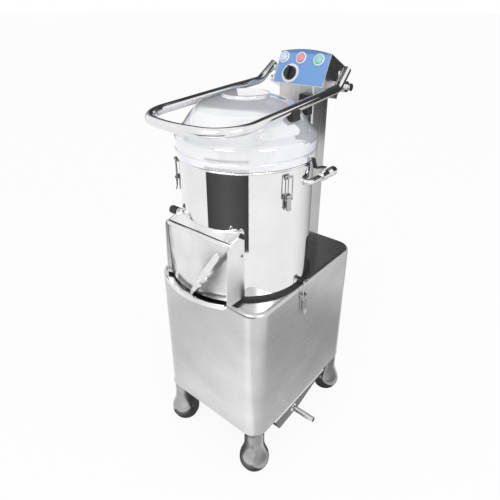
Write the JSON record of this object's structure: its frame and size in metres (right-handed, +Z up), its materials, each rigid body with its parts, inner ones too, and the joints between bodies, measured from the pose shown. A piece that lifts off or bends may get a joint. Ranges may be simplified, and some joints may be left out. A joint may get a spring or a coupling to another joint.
{
  "type": "potato peeler machine",
  "caption": "Floor-standing drum peeler: cabinet on bulb legs, upright drum with turning abrasive disc, clear hooped lid, rear control box, discharge chute and peel tray.",
  "frame": {"origin": "the point of the floor under the drum's axis", "axes": "+Z up along the drum's axis, -Y towards the discharge chute, +X to the right of someone facing the chute from the front"},
  "size_m": [0.4975, 0.6475, 1.2493],
  "materials": {
    "cabinet_steel": "brushed stainless sheet",
    "drum_steel": "polished stainless sheet",
    "hoop_chrome": "polished tube",
    "fitting_chrome": "plated",
    "cast_leg": "satin cast",
    "black_rubber": "matt",
    "clear_lid": "clear moulded",
    "panel_blue": "satin film",
    "bezel_clear": "milky",
    "button_white": "glossy",
    "button_red": "glossy",
    "button_green": "glossy",
    "dial_white": "satin",
    "black_plastic": "matt",
    "abrasive": "rough grit",
    "cast_aluminium": "machined",
    "motor_paint": "semi-gloss",
    "belt_rubber": "matt",
    "shaft_steel": "ground"
  },
  "bodies": {
    "machine": {"base_cabinet": "cabinet_steel", "bottom_pan": "cabinet_steel", "waste_duct": "cabinet_steel", "legs": "cast_leg", "foot_pads": "black_rubber", "seat_gasket": "black_rubber", "drum_shell": "drum_steel", "drum_top_ring": "drum_steel", "abrasive_liner": "abrasive", "bearing_housing": "cast_aluminium", "shaft_bearings": "shaft_steel", "drive_belt": "belt_rubber", "motor": "motor_paint", "motor_plate": "cabinet_steel", "pivot_pins": "fitting_chrome", "control_column": "cabinet_steel", "control_box": "cabinet_steel", "entry_cover": "cabinet_steel", "lid_sensor": "black_plastic", "control_panel": "panel_blue", "button_bezels": "bezel_clear", "timer_dial": "dial_white", "chute_housing": "drum_steel", "chute_knobs": "black_plastic", "door_rod": "shaft_steel", "lever_keeper": "fitting_chrome", "water_pipe": "fitting_chrome", "valve_body": "fitting_chrome", "hose_tail": "fitting_chrome", "tray_rails": "cabinet_steel", "latch_bases": "fitting_chrome", "latch_catches": "fitting_chrome"},
    "lid": {"lid_dome": "clear_lid", "lid_hoop": "hoop_chrome", "hoop_saddles": "black_plastic", "hinge_plates": "fitting_chrome", "lid_magnet": "black_plastic"},
    "disc_drive": {"abrasive_disc": "abrasive", "main_shaft": "shaft_steel", "driven_pulley": "cast_aluminium"},
    "motor_rotor": {"motor_pulley": "cast_aluminium"},
    "timer": {"timer_knob": "black_plastic"},
    "button_left": {"left_button": "button_white"},
    "button_middle": {"middle_button": "button_red"},
    "button_right": {"right_button": "button_green"},
    "valve_handle": {"valve_lever": "black_plastic"},
    "tray": {"peel_tray": "cabinet_steel", "drain_spigot": "drum_steel"},
    "door": {"chute_door": "drum_steel"},
    "door_latch": {"door_lever": "fitting_chrome"},
    "latch_1": {"latch_lever_1": "fitting_chrome"},
    "bail_1": {"latch_bail_1": "fitting_chrome"},
    "latch_2": {"latch_lever_2": "fitting_chrome"},
    "bail_2": {"latch_bail_2": "fitting_chrome"},
    "latch_3": {"latch_lever_3": "fitting_chrome"},
    "bail_3": {"latch_bail_3": "fitting_chrome"},
    "latch_4": {"latch_lever_4": "fitting_chrome"},
    "bail_4": {"latch_bail_4": "fitting_chrome"},
    "latch_5": {"latch_lever_5": "fitting_chrome"},
    "bail_5": {"latch_bail_5": "fitting_chrome"}
  },
  "joints": [
    {"name": "lid_swing", "type": "hinge", "parent": "machine", "child": "lid", "pos_m": [0, 0.31, 1.15], "axis": [-1, 0, 0], "range_deg": [0, 110]},
    {"name": "disc_spin", "type": "hinge", "parent": "machine", "child": "disc_drive", "pos_m": [0, 0, 0.6], "axis": [0, 0, 1], "continuous": true},
    {"name": "motor_spin", "type": "hinge", "parent": "machine", "child": "motor_rotor", "pos_m": [0, 0.205, 0.55], "axis": [0, 0, 1], "continuous": true},
    {"name": "timer_turn", "type": "hinge", "parent": "machine", "child": "timer", "pos_m": [-0.033, 0.25218, 1.18069], "axis": [0, 0.8965, -0.4431], "range_deg": [0, 300]},
    {"name": "valve_turn", "type": "hinge", "parent": "machine", "child": "valve_handle", "pos_m": [0.203, 0.085, 0.972], "axis": [0, 0, 1], "range_deg": [0, 90]},
    {"name": "tray_slide", "type": "slide", "parent": "machine", "child": "tray", "axis": [1, 0, 0], "range_m": [0, 0.3]},
    {"name": "door_swing", "type": "hinge", "parent": "machine", "child": "door", "pos_m": [0, -0.206, 0.819], "axis": [-1, 0, 0], "range_deg": [0, 95]},
    {"name": "door_lever_turn", "type": "hinge", "parent": "door", "child": "door_latch", "pos_m": [0.038, -0.245, 0.703], "axis": [0, 1, 0], "range_deg": [-20, 60]},
    {"name": "left_button_press", "type": "slide", "parent": "machine", "child": "button_left", "axis": [0, 0.8965, -0.4431], "range_m": [0, 0.003], "stiffness_N_per_m": 400},
    {"name": "middle_button_press", "type": "slide", "parent": "machine", "child": "button_middle", "axis": [0, 0.8965, -0.4431], "range_m": [0, 0.003], "stiffness_N_per_m": 400},
    {"name": "right_button_press", "type": "slide", "parent": "machine", "child": "button_right", "axis": [0, 0.8965, -0.4431], "range_m": [0, 0.003], "stiffness_N_per_m": 400},
    {"name": "latch_1_swing", "type": "hinge", "parent": "machine", "child": "latch_1", "pos_m": [0.1903, -0.05818, 0.93], "axis": [-0.2924, -0.9563, 0], "range_deg": [0, 100]},
    {"name": "bail_1_swing", "type": "hinge", "parent": "latch_1", "child": "bail_1", "pos_m": [0.18935, -0.05789, 0.923], "axis": [-0.2924, -0.9563, 0], "range_deg": [-94, 0]},
    {"name": "latch_2_swing", "type": "hinge", "parent": "machine", "child": "latch_2", "pos_m": [-0.14554, -0.13572, 0.93], "axis": [-0.682, 0.7314, 0], "range_deg": [0, 100]},
    {"name": "bail_2_swing", "type": "hinge", "parent": "latch_2", "child": "bail_2", "pos_m": [-0.14481, -0.13504, 0.923], "axis": [-0.682, 0.7314, 0], "range_deg": [-94, 0]},
    {"name": "latch_3_swing", "type": "hinge", "parent": "machine", "child": "latch_3", "pos_m": [-0.04477, 0.1939, 0.93], "axis": [0.9744, 0.225, 0], "range_deg": [0, 100]},
    {"name": "bail_3_swing", "type": "hinge", "parent": "latch_3", "child": "bail_3", "pos_m": [-0.04454, 0.19293, 0.923], "axis": [0.9744, 0.225, 0], "range_deg": [-94, 0]},
    {"name": "latch_4_swing", "type": "hinge", "parent": "machine", "child": "latch_4", "pos_m": [0.211, 0.02, 0.59], "axis": [0, -1, 0], "range_deg": [0, 100]},
    {"name": "bail_4_swing", "type": "hinge", "parent": "latch_4", "child": "bail_4", "pos_m": [0.21, 0.02, 0.583], "axis": [0, -1, 0], "range_deg": [-94, 0]},
    {"name": "latch_5_swing", "type": "hinge", "parent": "machine", "child": "latch_5", "pos_m": [-0.211, 0.02, 0.59], "axis": [0, 1, 0], "range_deg": [0, 100]},
    {"name": "bail_5_swing", "type": "hinge", "parent": "latch_5", "child": "bail_5", "pos_m": [-0.21, 0.02, 0.583], "axis": [0, 1, 0], "range_deg": [-94, 0]}
  ],
  "couplings": [
    {"joint": "motor_spin", "follows": "disc_spin", "ratio": 2.597},
    {"joint": "bail_1_swing", "follows": "latch_1_swing", "ratio": -0.929},
    {"joint": "bail_2_swing", "follows": "latch_2_swing", "ratio": -0.929},
    {"joint": "bail_3_swing", "follows": "latch_3_swing", "ratio": -0.929},
    {"joint": "bail_4_swing", "follows": "latch_4_swing", "ratio": -0.929},
    {"joint": "bail_5_swing", "follows": "latch_5_swing", "ratio": -0.929}
  ]
}
